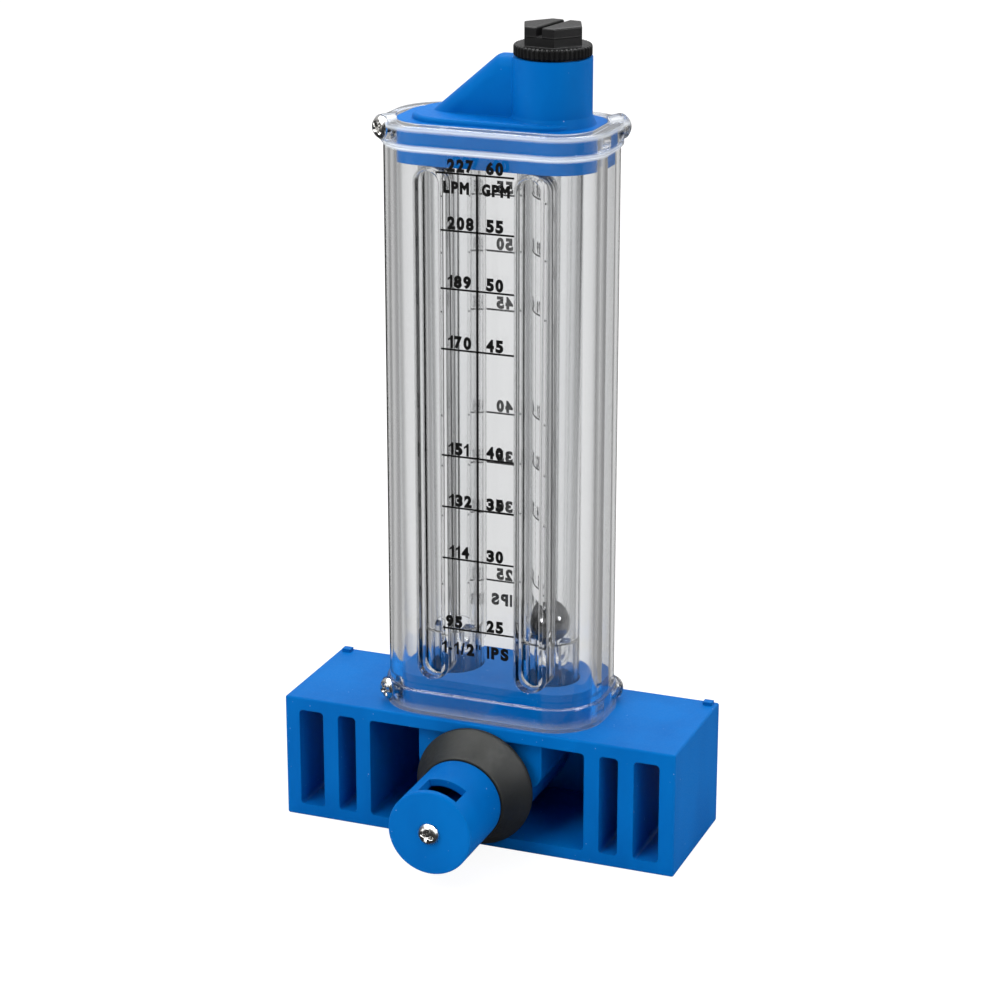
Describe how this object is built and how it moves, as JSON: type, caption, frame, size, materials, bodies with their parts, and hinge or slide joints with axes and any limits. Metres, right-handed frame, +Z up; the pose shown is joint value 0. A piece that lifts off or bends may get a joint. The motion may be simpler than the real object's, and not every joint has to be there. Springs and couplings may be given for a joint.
{
  "type": "saddle-mount flow meter",
  "caption": "Saddle-mount float-ball flow meter: a clear body with a scale on a slotted base, a probe into the pipe and a clean-out cap on top.",
  "frame": {"origin": "centre of the base's underside", "axes": "+Z up along the meter tubes, -Y out along the probe into the pipe, +X along the base towards the tube under the clean-out cap"},
  "size_m": [0.1016, 0.0661, 0.1993],
  "materials": {
    "blue_plastic": "satin moulded plastic",
    "clear_plastic": "clear glossy polycarbonate",
    "stop_plastic": "clear moulded plastic",
    "black_plastic": "satin moulded plastic",
    "black_rubber": "dull rubber",
    "polished_steel": "polished",
    "screw_steel": "bright stainless"
  },
  "bodies": {
    "meter": {"saddle_mount": "blue_plastic", "top_manifold": "blue_plastic", "probe_tube": "blue_plastic", "meter_body": "clear_plastic", "inlet_ball_stop": "stop_plastic", "return_ball_stop": "stop_plastic", "pipe_gasket": "black_rubber", "probe_seal": "black_rubber", "lower_inlet_seal": "black_rubber", "lower_return_seal": "black_rubber", "upper_inlet_seal": "black_rubber", "upper_return_seal": "black_rubber", "probe_screw": "screw_steel", "lower_front_screw": "screw_steel", "lower_rear_screw": "screw_steel", "upper_front_screw": "screw_steel", "upper_rear_screw": "screw_steel"},
    "ball": {"float_ball": "polished_steel"},
    "cap_seal": {"cleanout_seal": "black_rubber"},
    "cap": {"cleanout_cap": "black_plastic"}
  },
  "joints": [
    {"name": "float_rise", "type": "slide", "parent": "meter", "child": "ball", "axis": [0, 0, 1], "range_m": [0, 0.1139]},
    {"name": "cap_lift", "type": "slide", "parent": "meter", "child": "cap_seal", "axis": [0, 0, 1], "range_m": [0, 0.008]},
    {"name": "cap_turn", "type": "hinge", "parent": "cap_seal", "child": "cap", "pos_m": [0.0125, 0, 0.1915], "axis": [0, 0, 1], "range_deg": [0, 1440]}
  ],
  "couplings": [
    {"joint": "cap_lift", "follows": "cap_turn", "m_per_rad": 0.0003183}
  ]
}
